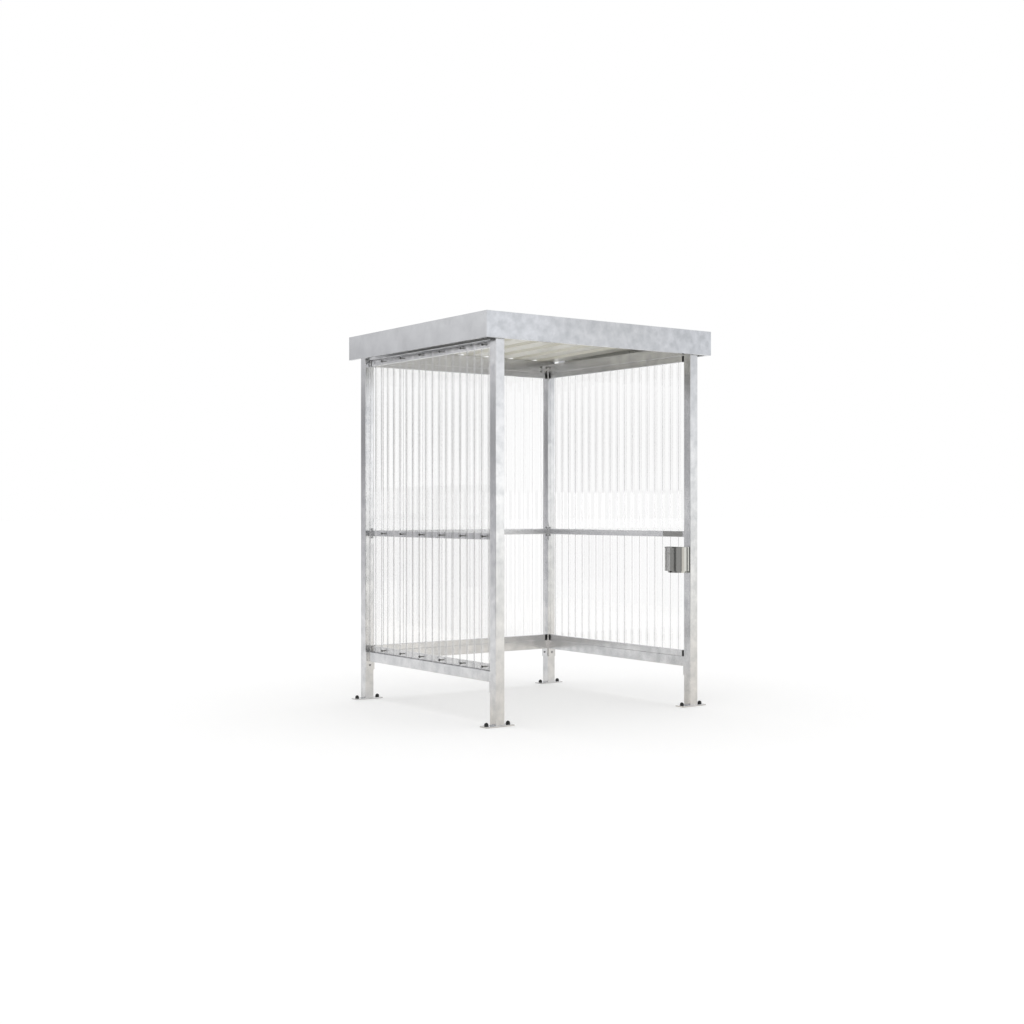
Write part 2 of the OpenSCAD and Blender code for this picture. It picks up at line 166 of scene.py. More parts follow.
# %% [markdown]
# ## Clear polycarbonate
# The wall sheets are taken to be extruded polycarbonate, a little over a millimetre thick.
# Seen flat on, such a sheet nearly vanishes; its sloping rib sides are seen edge on and
# draw one grey line for each rib. So this is real refraction with the plastic's own index,
# 1.585. A painted grey shade, a matt grey mixed in where the sheet is seen on a slant,
# stands in for darker reflections along the rib sides and strengthens those lines. Its share
# is painted larger low down than high up, where the roof's shadow already darkens it. Light
# from lamps, soft light and rays that a mirror has sent on pass straight through by a Light
# Path mix: a path tracer would otherwise cast a dark shadow behind every sheet.

# %% Clear sheet
# Painted rib shade: its share changes between these heights and is smaller high up, where the
# roof's shadow already darkens the sheet.
RIB_SHADE_FROM, RIB_SHADE_TO = 1.2, 2.05  # heights in metres between which the haze changes


def clear_finish(name, tint, rib_shade_colour, rib_shade):
    """Clear plastic that lets lamps through, with painted grey shade on a slant. rib_shade is that
    shade's share low and high.
    """
    material, tree, output = empty_material(name)
    plastic = add_node(tree, "BsdfPrincipled", {"Base Color": linear(tint), "IOR": 1.585,
                                                "Roughness": 0.0, "Transmission Weight": 1.0})
    slant = add_node(tree, "LayerWeight", {"Blend": 0.5})
    place = add_node(tree, "TexCoord").outputs["Object"]
    height = add_node(tree, "SeparateXYZ", {"Vector": place})
    most = add_node(tree, "MapRange", {"Value": height.outputs["Z"], "From Min": RIB_SHADE_FROM,
                                       "From Max": RIB_SHADE_TO, "To Min": rib_shade[0], "To Max": rib_shade[1]})
    edge = add_node(tree, "MapRange", {"Value": slant.outputs["Facing"], "From Min": 0.5,
                                       "From Max": 0.68, "To Max": most.outputs["Result"]})
    # Painted shade: a matt grey mixed in on a slant stands in for darker reflections along the rib
    # sides.
    painted_rib_shade = add_node(tree, "BsdfDiffuse", {"Color": linear(rib_shade_colour)})
    sheet = add_node(tree, "MixShader", {0: edge.outputs["Result"], 1: plastic.outputs["BSDF"],
                                         2: painted_rib_shade.outputs["BSDF"]})
    straight = add_node(tree, "BsdfTransparent", {"Color": linear("f8f8f8")})
    path = add_node(tree, "LightPath")
    lamp = add_node(tree, "Math", {0: path.outputs["Is Shadow Ray"],
                                   1: path.outputs["Is Diffuse Ray"]}, operation="MAXIMUM")
    passes = add_node(tree, "Math", {0: lamp.outputs[0], 1: path.outputs["Glossy Depth"]},
                      operation="MAXIMUM", use_clamp=True)
    mix = add_node(tree, "MixShader", {0: passes.outputs[0], 1: sheet.outputs[0],
                                       2: straight.outputs["BSDF"]})
    tree.links.new(mix.outputs[0], output.inputs["Surface"])
    return material


# bcbcbc is the painted rib shade; its share is 0.5 low down and 0.17 high up, where the roof
# already shades the sheet.
clear_sheet = clear_finish("clear_polycarbonate", "fdfdfd", "bcbcbc", (0.5, 0.17))
print("wall finish:", clear_sheet.name)

# %% [markdown]
# ## Stainless steel and black plastic
# The ashtray is folded from ground stainless sheet: smoother and darker than the zinc,
# with a fine grain left by the belt. The grain is a noise stretched along the belt's
# path. Screws and bolts share the recipe in duller greys. The caps, plugs and knob are
# moulded polyethylene, near black and softly matt.

# %% Ground stainless steel and moulded plastic
def stainless_finish(name, dark, pale, roughness):
    """Ground or plated steel, its grain running level."""
    material, tree, output = empty_material(name)
    place = add_node(tree, "TexCoord").outputs["Object"]
    stretch = add_node(tree, "Mapping", {"Vector": place, "Scale": (1.0, 1.0, 30.0)})
    belt = add_node(tree, "TexNoise", {"Vector": stretch.outputs["Vector"],
                                       "Scale": 1 / (40 * MM), "Detail": 4.0})
    colour = blended(tree, belt.outputs["Fac"], linear(dark), linear(pale))
    skin = add_node(tree, "Bump", {"Height": belt.outputs["Fac"], "Strength": 0.05,
                                   "Distance": 0.2 * MM})
    metal = add_node(tree, "BsdfPrincipled", {"Base Color": colour, "Metallic": 1.0,
                                              "Roughness": roughness,
                                              "Normal": skin.outputs["Normal"]})
    tree.links.new(metal.outputs["BSDF"], output.inputs["Surface"])
    return material


def moulded_finish(name, colour, roughness):
    """Moulded plastic or rubber with a fine spark-eroded grain."""
    material, tree, output = empty_material(name)
    place = add_node(tree, "TexCoord").outputs["Object"]
    grain = add_node(tree, "TexNoise", {"Vector": place, "Scale": 1 / (1.5 * MM), "Detail": 2.0})
    wear = add_node(tree, "MapRange", {"Value": grain.outputs["Fac"],
                                       "To Min": roughness - 0.06, "To Max": roughness + 0.06})
    skin = add_node(tree, "Bump", {"Height": grain.outputs["Fac"], "Strength": 0.15,
                                   "Distance": 0.1 * MM})
    plastic = add_node(tree, "BsdfPrincipled", {"Base Color": linear(colour),
                                                "Roughness": wear.outputs["Result"],
                                                "Normal": skin.outputs["Normal"]})
    tree.links.new(plastic.outputs["BSDF"], output.inputs["Surface"])
    return material


ground_steel = stainless_finish("ground_stainless_steel", "b8b8b5", "c4c4c1", 0.14)
bolt_steel = stainless_finish("dull_stainless_steel", "6c6c6a", "7a7a78", 0.32)
bolt_zinc = stainless_finish("zinc_plated_steel", "8e8f90", "9a9b9c", 0.32)
black_plastic = moulded_finish("black_polyethylene", "0c0d0d", 0.42)
grey_rubber = moulded_finish("grey_sealing_rubber", "3c3e40", 0.55)
print("small-part finishes:", [m.name for m in (ground_steel, bolt_steel, bolt_zinc,
                                                black_plastic, grey_rubber)])

# %% [markdown]
# ## Each part gets its finish
# A part of the construction model is never moved or reshaped here, but its material may
# change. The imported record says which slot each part's finish belongs to, so the finishes
# are handed out by slot. Cut and folded steel is never knife sharp either, so the flat
# parts get a Bevel modifier. The model arrives as loose triangles, and a Weld modifier
# joins them first, so that the bevel finds real edges.

# %% Hand out the finishes and ease the edges
FINISHES = {
    "galvanised_steel": tube_zinc,
    "galvanised_sheet": sheet_zinc,
    "coated_roof_sheet": roof_coating,
    "clear_sheet": clear_sheet,
    "stainless_steel": ground_steel,
    "black_plastic": black_plastic,
}


def finish_of(name):
    """The finish for a part, from the slot that its own material names."""
    given = nodes[name].data.materials[0].name
    return next(FINISHES[slot] for slot in FINISHES if given.startswith(slot))


for part_name in sorted(nodes):
    part_finish = finish_of(part_name)
    nodes[part_name].data.materials.clear()
    nodes[part_name].data.materials.append(part_finish)
nodes["front_fascia"].data.materials[0] = spangled_zinc

EASED = {"fascia": 0.7, "base_plate": 1.0, "bracket": 0.7, "ashtray_back": 0.6, "plugs": 0.8}
for part_name, part in sorted(nodes.items()):
    for word, ease in EASED.items():
        if word in part_name:
            part.modifiers.new("join", "WELD").merge_threshold = 0.01 * MM
            soft_edge = part.modifiers.new("ease", "BEVEL")
            soft_edge.width = ease * MM
            soft_edge.segments = 2
            soft_edge.angle_limit = math.radians(40)
            break
print("finishes in use:", sorted({o.data.materials[0].name for o in nodes.values()}))

# %% [markdown]
# ## Places on the walls
# Three walls are alike, so each has its own frame of reference: X along the wall, Y
# outwards, Z up, with the posts' centre line as zero. A matrix turns a place on a wall
# into a place in the shelter. All sizes are read from the construction model's boxes.

# %% A frame for each wall
def centre(name):
    low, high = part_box(name)
    return (low + high) / 2


front_left, back_right = centre("post_front_left"), centre("post_back_right")
MIDDLE = (front_left + back_right) / 2
REACH = {"left": (back_right.x - front_left.x) / 2, "back": (back_right.y - front_left.y) / 2}
REACH["right"] = REACH["left"]
TURN = {"left": 90, "back": 0, "right": -90}


def on_wall(side, x, y, z):
    """The matrix that puts something at a place on a wall, its Z axis pointing outwards."""
    base = Matrix.Translation((MIDDLE.x, MIDDLE.y, 0)) @ Matrix.Rotation(
        math.radians(TURN[side]), 4, "Z") @ Matrix.Translation((x, REACH[side] + y, z))
    return base @ Matrix.Rotation(math.radians(-90), 4, "X")


def level(name):
    """Lowest, middle and highest Z of a part."""
    low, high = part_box(name)
    return low.z, (low.z + high.z) / 2, high.z


def depth_on_wall(name):
    """Where a back-wall part's inner and outer faces lie, measured from the posts' line."""
    low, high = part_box(name)
    return low.y - MIDDLE.y - REACH["back"], high.y - MIDDLE.y - REACH["back"]


POST_HALF = front_left.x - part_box("post_front_left")[0].x
RAIL_IN, RAIL_OUT = depth_on_wall("back_top_rail")
CARRIER_OUT = depth_on_wall("back_mid_rail")[1]
CREST_OUT = depth_on_wall("back_wall_sheet")[1]
TUBE_BASE = level("back_bottom_carrier")[0]
TOP_BASE = level("back_top_carrier")[2]
for side in TURN:
    print(side, "wall line at", [round(v, 3) for v in on_wall(side, 0, 0, 0).translation])

# %% [markdown]
# ## Turned shapes and copies of them
# Screws, washers and bolts are turned on a lathe or upset in a round die, so each starts
# as half of its outline, spun once round its axis. One master mesh is made for each kind,
# and copies of it are stamped wherever one is needed. That keeps every copy alike.

# %% Spin an outline, and stamp a master
def turned(outline, steps=20):
    """A bmesh of an outline of (radius, height) pairs in mm, spun once round Z."""
    bm = bmesh.new()
    points = [bm.verts.new((r * MM, 0, z * MM)) for r, z in outline]
    lines = [bm.edges.new(pair) for pair in zip(points, points[1:])]
    bmesh.ops.spin(bm, geom=points + lines, cent=(0, 0, 0), axis=(0, 0, 1),
                   angle=math.tau, steps=steps, use_merge=True)
    bmesh.ops.remove_doubles(bm, verts=bm.verts, dist=0.001 * MM)
    bmesh.ops.recalc_face_normals(bm, faces=bm.faces)
    return bm


def as_master(bm, name):
    """Keeps a bmesh as a mesh to be stamped."""
    mesh = bpy.data.meshes.new(name)
    bm.to_mesh(mesh)
    bm.free()
    return mesh


def stamp(bm, master, matrices):
    """Adds one copy of the master at each matrix."""
    for matrix in matrices:
        before = set(bm.verts)
        bm.from_mesh(master)
        bmesh.ops.transform(bm, matrix=matrix, verts=[v for v in bm.verts if v not in before])


def new_piece(name, bm, material, smooth=False):
    """Makes a bmesh a piece of the shelter with its finish."""
    mesh = bpy.data.meshes.new(name)
    bm.to_mesh(mesh)
    bm.free()
    mesh.materials.append(material)
    mesh.polygons.foreach_set("use_smooth", [smooth] * len(mesh.polygons))
    piece = bpy.data.objects.new(name, mesh)
    bpy.context.scene.collection.objects.link(piece)
    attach(piece, "root")
    print(name, "has", len(mesh.polygons), "faces")
    return piece


# %% [markdown]
# ## Screws that hold the clear sheets
# A clear sheet is fixed through the top of every third rib, so that rain runs past the
# holes. Each screw has a flanged hexagon head on a wide rubber washer. Its shank, in a
# thick sleeve, crosses the hollow of the rib to the slim tube behind, and shows through
# the clear rib.

# %% Masters for the sheet screws
RIB_DEPTH = 17 * MM  # hollow of a rib, from the slim tube to the inside of its crest
SHEET_T = 1.2 * MM
WASHER_D, WASHER_T = 15.0, 2.6  # from here on small parts are in mm
HEAD_ACROSS, HEAD_H, HEAD_FLANGE, SLEEVE_R = 8, 4.5, 11, 4
washer_master = as_master(turned([(0, 0), (WASHER_D / 2, 0), (WASHER_D / 2, 0.8),
                                  (WASHER_D / 2 - 1.2, WASHER_T), (0, WASHER_T)]), "washer")


def hexagon_head(across, height, flange=0.0):
    """A hexagon head with its top corners turned off, on an optional flange, in mm."""
    bm = bmesh.new()
    corner = across / math.sqrt(3)
    bmesh.ops.create_cone(bm, cap_ends=True, segments=6, radius1=corner * MM,
                          radius2=corner * MM, depth=height * MM,
                          matrix=Matrix.Translation((0, 0, height / 2 * MM)))
    top = [e for e in bm.edges if all(v.co.z > height * 0.9 * MM for v in e.verts)]
    bmesh.ops.bevel(bm, geom=top, offset=0.1 * across * MM, offset_type="OFFSET", segments=1,
                    profile=0.5, affect="EDGES", material=-1, clamp_overlap=True)
    if flange:
        bmesh.ops.create_cone(bm, cap_ends=True, segments=20, radius1=flange / 2 * MM,
                              radius2=(flange / 2 - 0.6) * MM, depth=1.2 * MM,
                              matrix=Matrix.Translation((0, 0, 0.6 * MM)))
    bmesh.ops.recalc_face_normals(bm, faces=bm.faces)
    return bm


head_bm = hexagon_head(HEAD_ACROSS, HEAD_H, flange=HEAD_FLANGE)
bmesh.ops.translate(head_bm, verts=head_bm.verts, vec=(0, 0, WASHER_T * MM))
bmesh.ops.create_cone(head_bm, cap_ends=True, segments=12, radius1=SLEEVE_R * MM,
                      radius2=SLEEVE_R * MM, depth=RIB_DEPTH + SHEET_T,
                      matrix=Matrix.Translation((0, 0, -(RIB_DEPTH + SHEET_T) / 2)))
screw_master = as_master(head_bm, "screw")
print("a screw stands", WASHER_T + HEAD_H, "mm off its rib")

# %% Screw every third rib, at three levels, on three walls
PITCH = 76 * MM
SHIFT = {"left": 0, "right": 0, "back": 9 * MM}
RIBS = {"left": (-8, -5, -2, 1, 4, 7), "back": (-8, -5, -2, 1, 4, 7),
        "right": (-7, -4, -1, 2, 5, 8)}
screw_places = [
    on_wall(side, SHIFT[side] + rib * PITCH, CREST_OUT, level(side + row)[1])
    for side in RIBS for rib in RIBS[side]
    for row in ("_bottom_carrier", "_mid_rail", "_top_carrier")
]
washers, screws = bmesh.new(), bmesh.new()
stamp(washers, washer_master, screw_places)
stamp(screws, screw_master, screw_places)
new_piece("sheet_screw_washers", washers, grey_rubber)
new_piece("sheet_screws", screws, bolt_steel)
print(len(screw_places), "sheet screws,", round(CREST_OUT / MM, 1), "mm outside the posts' line")

# %% [markdown]
# ## Bolts at the ends of the rails
# Every rail is bolted to the posts through its end plates, so that the shelter travels
# flat and is put together on site. A bolt with a washer sits on each free part of an end
# plate: one under a bottom rail, one above and one below a mid rail. The back top rail
# also has four low heads on its inner face near each end, and each side top rail has one.

# %% Bolts along the rails
BOLT_ACROSS, BOLT_HEAD_H = 10, 4.5
PLAIN_WASHER_R, PLAIN_WASHER_T = 7 * MM, 1.6 * MM
bolt_bm = hexagon_head(BOLT_ACROSS, BOLT_HEAD_H)
bmesh.ops.translate(bolt_bm, verts=bolt_bm.verts, vec=(0, 0, PLAIN_WASHER_T))
bmesh.ops.create_cone(bolt_bm, cap_ends=True, segments=20, radius1=PLAIN_WASHER_R,
                      radius2=PLAIN_WASHER_R, depth=PLAIN_WASHER_T,
                      matrix=Matrix.Translation((0, 0, PLAIN_WASHER_T / 2)))
bolt_master = as_master(bolt_bm, "bolt")

END_PLATE_T, FOOT_PLATE_T = 4 * MM, 8 * MM
TUBE_H, CARRIER_H = 62 * MM, 38 * MM
BOLT_OFF_TUBE, BOLT_UP_FOOT = 8 * MM, 30 * MM


def bolt_places(side, z, y, plate=END_PLATE_T):
    """Matrices for a bolt on the end plate at each end of a wall, heads facing each other."""
    half = {"left": REACH["back"], "right": REACH["back"], "back": REACH["left"]}[side]
    x_plate = half - POST_HALF - plate
    return [on_wall(side, s * x_plate, y, z) @ Matrix.Rotation(math.radians(-90 * s), 4, "Y")
            for s in (-1, 1)]


bolts = bmesh.new()
for side in TURN:
    mid = level(side + "_mid_rail")[1]
    for tab in (CARRIER_H / 2 + BOLT_OFF_TUBE, -CARRIER_H / 2 - BOLT_OFF_TUBE):
        stamp(bolts, bolt_master, bolt_places(side, mid + tab, (RAIL_IN + CARRIER_OUT) / 2))
    low = level(side + "_bottom_rail")[0]
    stamp(bolts, bolt_master, bolt_places(side, low + BOLT_UP_FOOT, 0, FOOT_PLATE_T))
new_piece("rail_bolts", bolts, bolt_zinc)

# %% Low heads on the inner faces of the top rails
button_master = as_master(turned([(0, 0), (7, 0), (7, 0.8), (6.2, 2.4), (4.2, 3.6), (2.2, 3.9),
                                  (1.9, 2.2), (0, 2.2)], steps=16), "button")
FACE_IN = Matrix.Rotation(math.radians(180), 4, "X")
BACK_ALONG, BACK_UP = (654 * MM, 702 * MM), (9 * MM, 40 * MM)
SIDE_ALONG, SIDE_UP = 700 * MM, 14 * MM
button_places = [on_wall("back", s * x, RAIL_IN, TOP_BASE + up) @ FACE_IN
                 for s in (-1, 1) for x in BACK_ALONG for up in BACK_UP]
button_places += [on_wall(side, x, RAIL_IN, TOP_BASE + SIDE_UP) @ FACE_IN
                  for side, x in (("right", SIDE_ALONG), ("left", -SIDE_ALONG))]
buttons = bmesh.new()
stamp(buttons, button_master, button_places)
new_piece("top_rail_buttons", buttons, bolt_steel)

# %% [markdown]
# ## Roof screws
# The roof sheet is screwed down in its valleys, into the front beam and the back rail
# under it. They show from above and from behind. The sheet falls a few centimetres from
# front to back, so each row's height comes from the sheet's own slope.

# %% Screws through the roof sheet
ROOF_PITCH, ROOF_T, ROOF_RIB = 207 * MM, 1 * MM, 35 * MM
roof_low, roof_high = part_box("roof_sheet")
slope = (roof_high.z - roof_low.z - ROOF_RIB - ROOF_T) / (roof_high.y - roof_low.y)
roof_rows = []
for y in (centre("front_beam").y, centre("back_top_rail").y):
    z = roof_high.z - ROOF_RIB - (y - roof_low.y) * slope
    roof_rows += [Matrix.Translation((MIDDLE.x + (k + 0.5) * ROOF_PITCH, y, z))
                  for k in range(-4, 4)]
roof_washers, roof_screws = bmesh.new(), bmesh.new()
ROOF_HEAD_ACROSS, ROOF_HEAD_H, ROOF_HEAD_FLANGE = 9.5, 4.2, 13
roof_head = hexagon_head(ROOF_HEAD_ACROSS, ROOF_HEAD_H, flange=ROOF_HEAD_FLANGE)
bmesh.ops.translate(roof_head, verts=roof_head.verts, vec=(0, 0, WASHER_T * MM))
stamp(roof_washers, washer_master, roof_rows)
stamp(roof_screws, as_master(roof_head, "roof_screw"), roof_rows)
new_piece("roof_screw_washers", roof_washers, grey_rubber)
new_piece("roof_screws", roof_screws, bolt_steel)

# %% [markdown]
# ## Weld beads
# The posts are welded to their base plates and the rails to their end plates. A bead is
# a small ripple of steel laid all round the joint, then dipped with the rest. Each is a
# closed curve that follows the tube's outline with its rounded corners. The radius swells
# and shrinks along it as the welder's ripples do, and the curve is then made a mesh.

# %% Lay a bead round a tube's outline
def bead(points, radius):
    """A closed curve through the points, as a rippled bead. Returns its mesh."""
    curve = bpy.data.curves.new("bead", "CURVE")
    curve.dimensions, curve.bevel_depth, curve.bevel_resolution = "3D", radius, 1
    line = curve.splines.new("POLY")
    line.points.add(len(points) - 1)
    for number, (target, source) in enumerate(zip(line.points, points)):
        target.co = (*source, 1)
        target.radius = 1.0 if number % 2 else 0.72
    line.use_cyclic_u = True
    holder = bpy.data.objects.new("bead", curve)
    bpy.context.scene.collection.objects.link(holder)
    graph = bpy.context.evaluated_depsgraph_get()
    mesh = bpy.data.meshes.new_from_object(holder.evaluated_get(graph))
    bpy.data.objects.remove(holder)
    return mesh


def round_outline(width, depth, corner, step):
    """Points round a rectangle with round corners, about a step apart."""
    points = []
    for quarter, (sx, sy) in enumerate([(1, 1), (-1, 1), (-1, -1), (1, -1)]):
        middle = Vector((sx * (width / 2 - corner), sy * (depth / 2 - corner), 0))
        for turn in (0, 45, 90):
            angle = math.radians(90 * quarter + turn)
            points.append(middle + corner * Vector((math.cos(angle), math.sin(angle), 0)))
    filled = []
    for here, there in zip(points, points[1:] + points[:1]):
        count = max(1, round((there - here).length / step))
        filled += [here.lerp(there, i / count) for i in range(count)]
    return filled


RIPPLE, POST_CORNER, POST_BEAD_R, RAIL_BEAD_R = 3 * MM, 2 * MM, 3 * MM, 1.8 * MM
welds = bmesh.new()
plate_top = level("base_plate_front_left")[2]
foot_bead = bead(round_outline(2 * POST_HALF, 2 * POST_HALF, POST_CORNER, RIPPLE),
                 POST_BEAD_R)
stamp(welds, foot_bead, [
    Matrix.Translation((centre(post).x, centre(post).y, plate_top))
    for post in sorted(nodes) if post.startswith("post_")])
new_piece("post_weld_beads", welds, tube_zinc, smooth=True)

# %% Beads where the rails meet their end plates
TUBES = [  # outer face, height of the tube, level of its middle, corner, plate it meets
    (RAIL_OUT, TUBE_H, TUBE_BASE - TUBE_H / 2, 3 * MM, FOOT_PLATE_T),
    (CARRIER_OUT, CARRIER_H, level("back_mid_rail")[1], 2 * MM, END_PLATE_T),
    (RAIL_OUT, TUBE_H, TOP_BASE + TUBE_H / 2, 3 * MM, END_PLATE_T),
]
rail_welds = bmesh.new()
for outer, height, z, corner, plate in TUBES:
    loop = bead(round_outline(outer - RAIL_IN, height, corner, RIPPLE), RAIL_BEAD_R)
    for side in TURN:
        stamp(rail_welds, loop, bolt_places(side, z, (RAIL_IN + outer) / 2, plate))
new_piece("rail_weld_beads", rail_welds, tube_zinc, smooth=True)

# %% [markdown]
# ## The ashtray's trim and the plate on the rail
# The ashtray is taken to open with a key: a turned core with a key slot is set in the
# round rosette that the construction model holds. A slim dark grey strip lies on each flank
# of its shell, along the post: painted shade for the shadowed gap between shell and post.
# A long flat grey plate with rounded ends sits on the inside of the right mid rail next to
# the front post and makes the rail darker there.

# %% Lock core, gaskets and rail plate
CORE_H = 2.0
ash_low, ash_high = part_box("ashtray_lock")
core_bm = turned([(0, 0), (5.6, 0), (5.6, 1.4), (5.0, CORE_H), (0, CORE_H)], steps=24)
lock_face = Matrix.Translation((ash_low.x, (ash_low.y + ash_high.y) / 2,
                                (ash_low.z + ash_high.z) / 2)) @ Matrix.Rotation(
    math.radians(-90), 4, "Y")
bmesh.ops.transform(core_bm, matrix=lock_face, verts=core_bm.verts)
new_piece("ashtray_lock_core", core_bm, ground_steel)

key_bm = bmesh.new()
bmesh.ops.create_cube(key_bm, size=1.0, matrix=Matrix.Diagonal((6 * MM, 1.6 * MM, 0.6 * MM, 1)))
bmesh.ops.bevel(key_bm, geom=[e for e in key_bm.edges], offset=0.25 * MM, segments=2,
                profile=0.5, affect="EDGES", material=-1)
bmesh.ops.transform(key_bm, matrix=lock_face @ Matrix.Translation((0, 0, CORE_H * MM)),
                    verts=key_bm.verts)
new_piece("ashtray_key_slot", key_bm, black_plastic)

# Painted shade: a dark grey strip on each flank of the shell stands in for the shadowed gap along
# the post. It uses the grey rubber finish of the washers.
FLANK_SHADE_W, FLANK_SHADE_T = 9 * MM, 1 * MM
shell_low, shell_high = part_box("ashtray_body")
flank_shade_bm = bmesh.new()
for y in (shell_low.y - FLANK_SHADE_T / 2, shell_high.y + FLANK_SHADE_T / 2):
    at = Vector((shell_high.x - FLANK_SHADE_W / 2, y, (shell_low.z + shell_high.z) / 2))
    size = Matrix.Diagonal((FLANK_SHADE_W, FLANK_SHADE_T, shell_high.z - shell_low.z, 1))
    bmesh.ops.create_cube(flank_shade_bm, size=1.0, matrix=Matrix.Translation(at) @ size)
bmesh.ops.bevel(flank_shade_bm, geom=[e for e in flank_shade_bm.edges], offset=0.3 * MM, segments=2,
                profile=0.5, affect="EDGES", material=-1)
new_piece("ashtray_gaskets", flank_shade_bm, grey_rubber)

# A flat grey plate with rounded ends, darker than the zinc, makes the rail darker over its length.
PLATE_L, PLATE_H, PLATE_T, PLATE_CORNER = 183 * MM, 32 * MM, 1.5 * MM, 7 * MM
PLATE_ALONG = 601.5 * MM
plate_bm = bmesh.new()
bmesh.ops.create_cube(plate_bm, size=1.0, matrix=Matrix.Diagonal((PLATE_L, PLATE_H, PLATE_T, 1)))
upright = [e for e in plate_bm.edges if abs(e.verts[0].co.z - e.verts[1].co.z) > PLATE_T / 2]
bmesh.ops.bevel(plate_bm, geom=upright, offset=PLATE_CORNER, segments=6, profile=0.5,
                affect="EDGES", material=-1)
plate_place = on_wall("right", PLATE_ALONG, RAIL_IN - PLATE_T / 2,
                      level("right_mid_rail")[1]) @ FACE_IN
bmesh.ops.transform(plate_bm, matrix=plate_place, verts=plate_bm.verts)
rail_plate_grey = moulded_finish("grey_laminate", "979796", 0.5)
new_piece("rail_plate", plate_bm, rail_plate_grey)

# %% [markdown]
# ## A pale studio
# The shelter stands on a pale floor in soft light. The camera, and anything mirrored or
# seen through the sheets, finds a plain white room, while soft light on matt surfaces is
# set a little lower. The floor glows faintly for the same rays, and those that a mirror
# sends on find it warmer in front of the shelter. A sun overhead with a very wide disc
# lays the soft shadow under the roof. A weak, narrow one, nearly level, comes from the
# front right and puts a glint on the metal.

# %% World, floor and lamps
SOFT_LIGHT, FLOOR_GLOW, FLOOR_HALF, FLOOR_DROP = 0.85, 0.195, 150, 0.5 * MM
WARM_FROM, WARM_TO = -0.6, 1.4  # Y in metres, between which the mirrored warmth fades
world = bpy.data.worlds.new("pale_room")
bpy.context.scene.world = world
world.use_nodes = True
sky = world.node_tree
sky.nodes.clear()


def seen_rays(tree):
    """1 for rays that show the room: from the camera, mirrored or seen through."""
    path = add_node(tree, "LightPath")
    first = add_node(tree, "Math", {0: path.outputs["Is Camera Ray"],
                                    1: path.outputs["Is Glossy Ray"]}, operation="MAXIMUM")
    return add_node(tree, "Math", {0: first.outputs[0],
                                   1: path.outputs["Is Transmission Ray"]},
                    operation="MAXIMUM").outputs[0]


def mirrored_rays(tree):
    """1 for rays that last left a mirror. Those through clear sheet count as glossy too."""
    path = add_node(tree, "LightPath")
    return add_node(tree, "Math", {0: path.outputs["Is Glossy Ray"],
                                   1: path.outputs["Is Transmission Ray"]},
                    operation="SUBTRACT", use_clamp=True).outputs[0]


room = add_node(sky, "Background", {"Color": (1, 1, 1, 1), "Strength": 1.0})
soft = add_node(sky, "Background", {"Color": (1, 1, 1, 1), "Strength": SOFT_LIGHT})
both = add_node(sky, "MixShader", {0: seen_rays(sky), 1: soft.outputs[0], 2: room.outputs[0]})
add_node(sky, "OutputWorld", {"Surface": both.outputs[0]})

floor_material, floor_tree, floor_out = empty_material("pale_floor")
matt = add_node(floor_tree, "BsdfDiffuse", {"Color": linear("ededed")})
floor_place = add_node(floor_tree, "SeparateXYZ", {
    "Vector": add_node(floor_tree, "TexCoord").outputs["Object"]})
front_part = add_node(floor_tree, "MapRange", {
    "Value": floor_place.outputs["Y"], "From Min": WARM_FROM, "From Max": WARM_TO,
    "To Min": 1.0, "To Max": 0.0})
warm_by = add_node(floor_tree, "Math", {0: mirrored_rays(floor_tree),
                                        1: front_part.outputs["Result"]}, operation="MULTIPLY")
warmth = blended(floor_tree, warm_by.outputs[0], (1, 1, 1, 1), linear("ffe5b0"))
glow_by = add_node(floor_tree, "Math", {0: seen_rays(floor_tree), 1: FLOOR_GLOW},
                   operation="MULTIPLY")
floor_glow = add_node(floor_tree, "Emission", {"Color": warmth, "Strength": glow_by.outputs[0]})
summed = add_node(floor_tree, "AddShader", {0: matt.outputs[0], 1: floor_glow.outputs[0]})
floor_tree.links.new(summed.outputs[0], floor_out.inputs["Surface"])

floor_bm = bmesh.new()
bmesh.ops.create_grid(floor_bm, x_segments=1, y_segments=1, size=FLOOR_HALF,
                      matrix=Matrix.Translation((0, 0, -FLOOR_DROP)))
floor_mesh = bpy.data.meshes.new("floor")
floor_bm.to_mesh(floor_mesh)
floor_bm.free()
floor_mesh.materials.append(floor_material)
floor = bpy.data.objects.new("floor", floor_mesh)
bpy.context.scene.collection.objects.link(floor)


def sun(name, strength, angle, towards, glossy):
    """A sun whose disc is angle degrees wide and whose light travels towards a direction."""
    lamp = bpy.data.lights.new(name, "SUN")
    lamp.energy, lamp.angle = strength, math.radians(angle)
    holder = bpy.data.objects.new(name, lamp)
    holder.rotation_mode = "QUATERNION"
    holder.rotation_quaternion = Vector(towards).to_track_quat("-Z", "Y")
    holder.visible_glossy = glossy
    bpy.context.scene.collection.objects.link(holder)
    return holder


sun("overhead", 0.45, 70, (0, 0, -1), glossy=False)
sun("front_right", 0.034, 6, (-0.477, 0.879, -0.026), glossy=True)

# %% [markdown]
# ## Cards for the zinc to mirror
# Metal looks like metal by what it mirrors, and in an empty white room it mirrors nothing.
# So there are ten cards, plain sheets that only mirrored rays see, with a brightness that
# changes with height. A grey and a bright one shade the faces that look their way, and a
# small one shades the front fascia. Two low strips light the mid rails, which lie at eye
# level. A corner card shows only in rays mirrored twice. Four dark flags give the round
# ashtray the upright bands that polished steel has.
#
# The cards are set for this one camera. From other sides they leave marks that a real
# place would not: a bright patch or dark stretches halfway up the posts.

